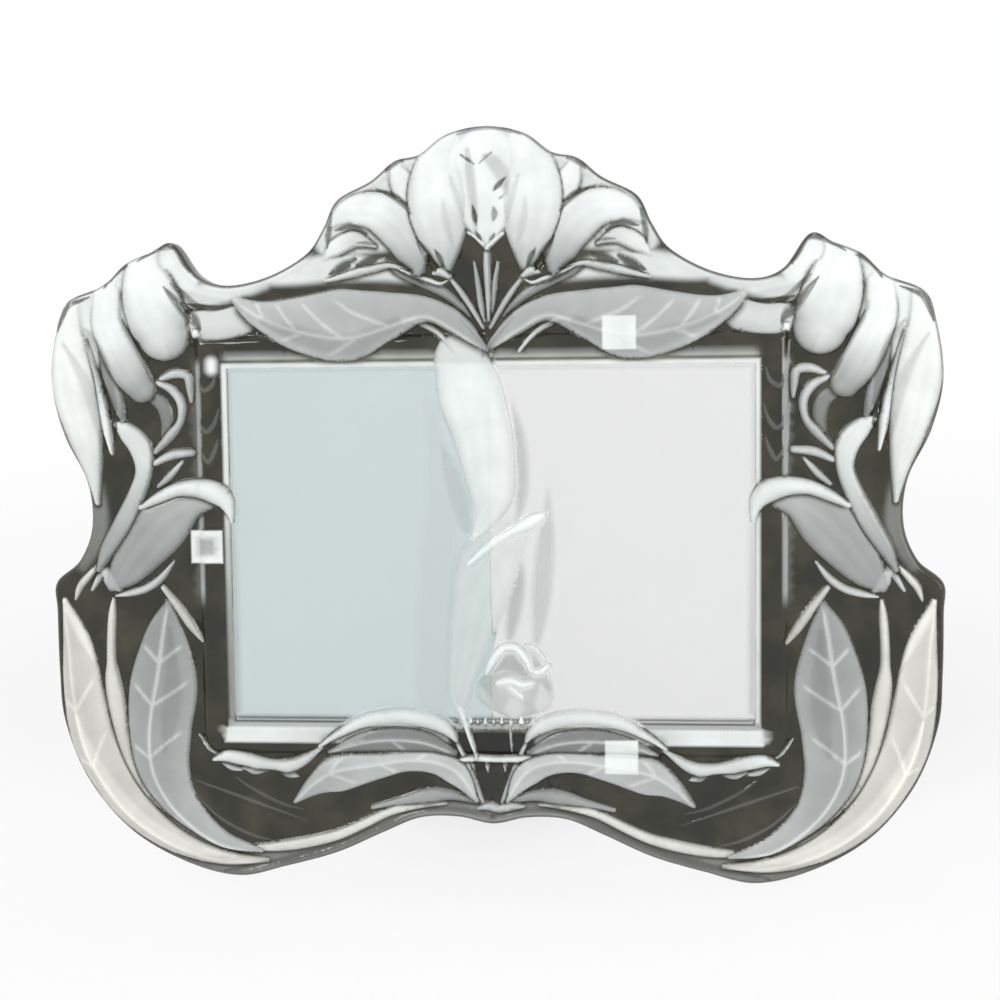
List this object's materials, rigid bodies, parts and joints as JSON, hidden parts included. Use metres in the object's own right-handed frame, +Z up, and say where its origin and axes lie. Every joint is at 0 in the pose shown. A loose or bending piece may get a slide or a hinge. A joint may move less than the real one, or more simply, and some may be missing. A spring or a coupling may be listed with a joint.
{
  "type": "double photo frame",
  "caption": "Free-standing pressed-glass frame with leaf and petal relief, one wide window for two prints, a covered back board on turn clips and a hinged strut.",
  "frame": {"origin": "on the table plane, midway between the front of the lobes and the back of the open strut's foot, in the plane of the crown", "axes": "+Z up; the glass faces -Y and leans back towards +Y; +X to the viewer's right"},
  "size_m": [0.302, 0.0872, 0.2478],
  "materials": {
    "pressed_glass": "clear smoke-grey crystal with acid-frosted leaves and petals",
    "print_left": "blank photo paper, cool white",
    "print_right": "blank photo paper, warm white",
    "grey_card": "matt grey card",
    "lining_paper": "matt black lining paper",
    "brown_board": "pressed fibre board",
    "black_velvet": "short-pile black velvet",
    "hinge_steel": "nickel-plated sheet",
    "pin_steel": "drawn wire",
    "rivet_steel": "bright nickel plate",
    "pad_foam": "white adhesive foam",
    "clip_steel": "bright nickel plate"
  },
  "bodies": {
    "frame": {"glass_frame": "pressed_glass", "photo_left": "print_left", "photo_right": "print_right", "filler_card": "grey_card", "board_lining": "lining_paper", "back_board": "brown_board", "board_cover": "black_velvet", "hinge_fixed_leaf": "hinge_steel", "hinge_pin": "pin_steel", "board_rivets": "rivet_steel", "clip_pads": "pad_foam", "clip_bases": "clip_steel", "clip_rivets": "rivet_steel"},
    "strut": {"hinge_moving_leaf": "hinge_steel", "strut_board": "brown_board", "strut_cover": "black_velvet", "strut_lining": "lining_paper", "strut_rivets": "rivet_steel"},
    "tab_left": {"clip_tab_left": "clip_steel"},
    "tab_top": {"clip_tab_top": "clip_steel"},
    "tab_bottom": {"clip_tab_bottom": "clip_steel"}
  },
  "joints": [
    {"name": "strut_fold", "type": "hinge", "parent": "frame", "child": "strut", "pos_m": [0, 0.00632, 0.14441], "axis": [1, 0, 0], "range_deg": [-28, 0]},
    {"name": "clip_turn_left", "type": "hinge", "parent": "frame", "child": "tab_left", "pos_m": [-0.09675, -0.00492, 0.11011], "axis": [0, 0.9703, -0.2419], "continuous": true},
    {"name": "clip_turn_top", "type": "hinge", "parent": "frame", "child": "tab_top", "pos_m": [0.044, 0.0123, 0.17914], "axis": [0, 0.9703, -0.2419], "continuous": true},
    {"name": "clip_turn_bottom", "type": "hinge", "parent": "frame", "child": "tab_bottom", "pos_m": [0.044, -0.02213, 0.04107], "axis": [0, 0.9703, -0.2419], "continuous": true}
  ]
}
